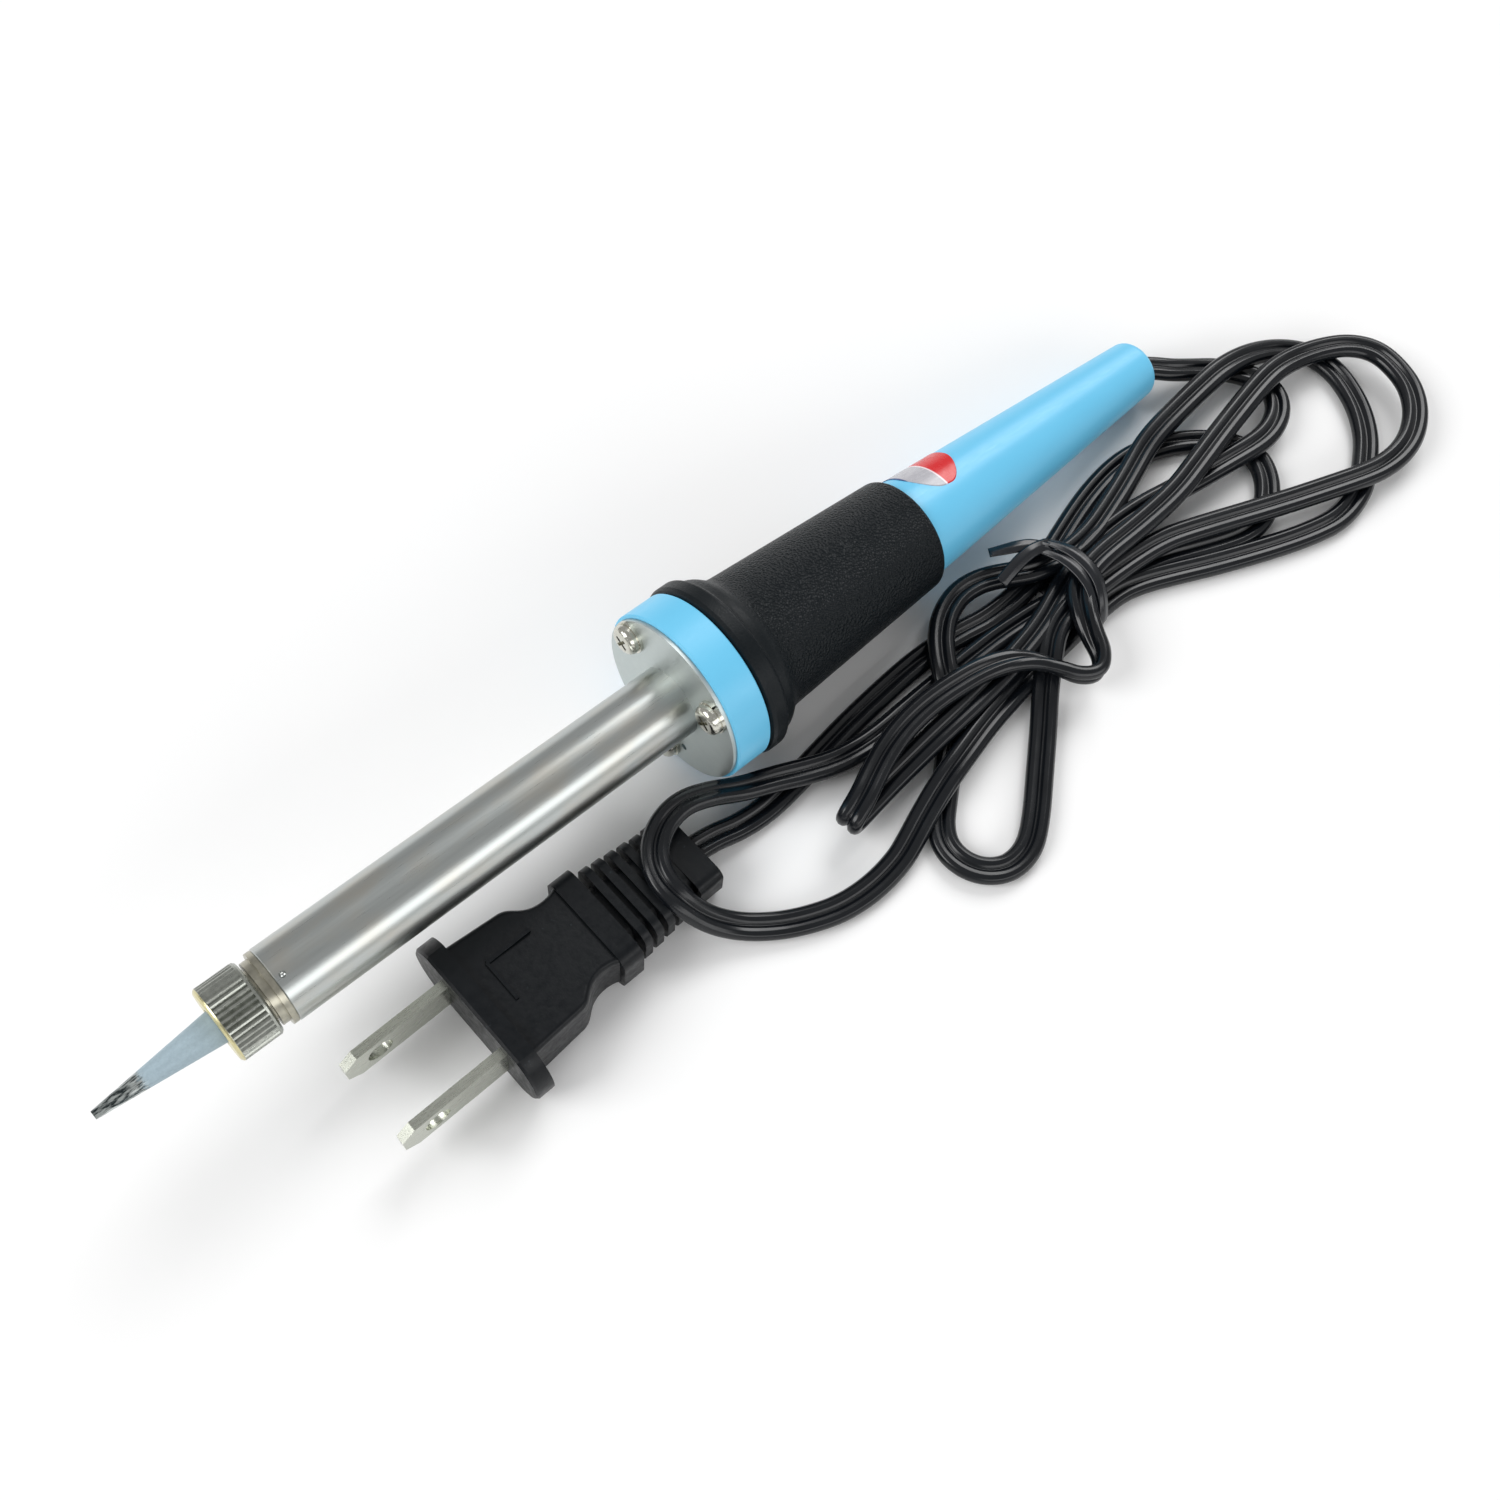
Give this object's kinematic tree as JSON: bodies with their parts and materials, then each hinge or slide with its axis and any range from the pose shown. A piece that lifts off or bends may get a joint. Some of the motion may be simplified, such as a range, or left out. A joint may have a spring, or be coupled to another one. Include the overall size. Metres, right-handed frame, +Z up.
{
  "type": "soldering iron",
  "caption": "Mains soldering iron with chisel tip in a knurled nut, steel barrel, flanged tapered handle with rubber grip, flat cord in a tied hank and moulded two-blade plug.",
  "frame": {"origin": "middle of the iron's own box, at table height", "axes": "+X along the iron from the tip to the cord exit, as it lies; +Z up; the cord and plug lie on the -Y side"},
  "size_m": [0.2345, 0.0664, 0.0291],
  "materials": {
    "tip_plating": "matte plated cone with a bright tinned chisel end",
    "nut_nickel": "nickel plate over a straight knurl",
    "bush_nickel": "turned, nickel plated",
    "barrel_steel": "satin stainless tube",
    "heater_ceramic": "unglazed white ceramic",
    "heater_wire": "drawn resistance wire",
    "mica": "layered mica sheet",
    "crimp_brass": "crimped",
    "core_insulation": "extruded",
    "cord_jacket": "glossy extruded flexible plastic",
    "clamp_nylon": "moulded",
    "plate_steel": "satin steel disc",
    "screw_nickel": "bright nickel plate",
    "handle_plastic": "smooth semi-gloss moulding",
    "grip_rubber": "pebbled rubber",
    "label_film": "printed film, plain red over silver",
    "tie_plastic": "thin flexible plastic over a wire",
    "plug_plastic": "moulded, slightly textured",
    "blade_nickel": "stamped and nickel plated"
  },
  "bodies": {
    "iron": {"neck_bush": "bush_nickel", "barrel_tube": "barrel_steel", "heater_core": "heater_ceramic", "heater_winding": "heater_wire", "mica_wrap": "mica", "heater_bead": "heater_ceramic", "heater_leads": "heater_wire", "wire_crimps": "crimp_brass", "cord_cores": "core_insulation", "cord_inlet": "cord_jacket", "cord_clamp": "clamp_nylon", "flange_plate": "plate_steel", "flange_screws": "screw_nickel", "screw_washers": "screw_nickel", "handle": "handle_plastic", "grip_sleeve": "grip_rubber", "label": "label_film", "cord_lead": "cord_jacket", "cord_loop": "cord_jacket", "cord_tail": "cord_jacket", "cord_hank": "cord_jacket", "twist_tie": "tie_plastic", "plug_body": "plug_plastic", "plug_blades": "blade_nickel", "plug_bridge": "clamp_nylon", "plug_wires": "crimp_brass"},
    "working_tip": {"tip": "tip_plating"},
    "nut": {"tip_nut": "nut_nickel"}
  },
  "joints": [
    {"name": "tip_travel", "type": "slide", "parent": "iron", "child": "working_tip", "axis": [-0.9953, 0, 0.0972], "range_m": [0, 0.0038]},
    {"name": "nut_turn", "type": "hinge", "parent": "working_tip", "child": "nut", "pos_m": [-0.0783, 0, 0.02235], "axis": [-0.9953, 0, 0.0972], "range_deg": [0, 1825]}
  ],
  "couplings": [
    {"joint": "nut_turn", "follows": "tip_travel", "rad_per_m": 8377.6}
  ]
}
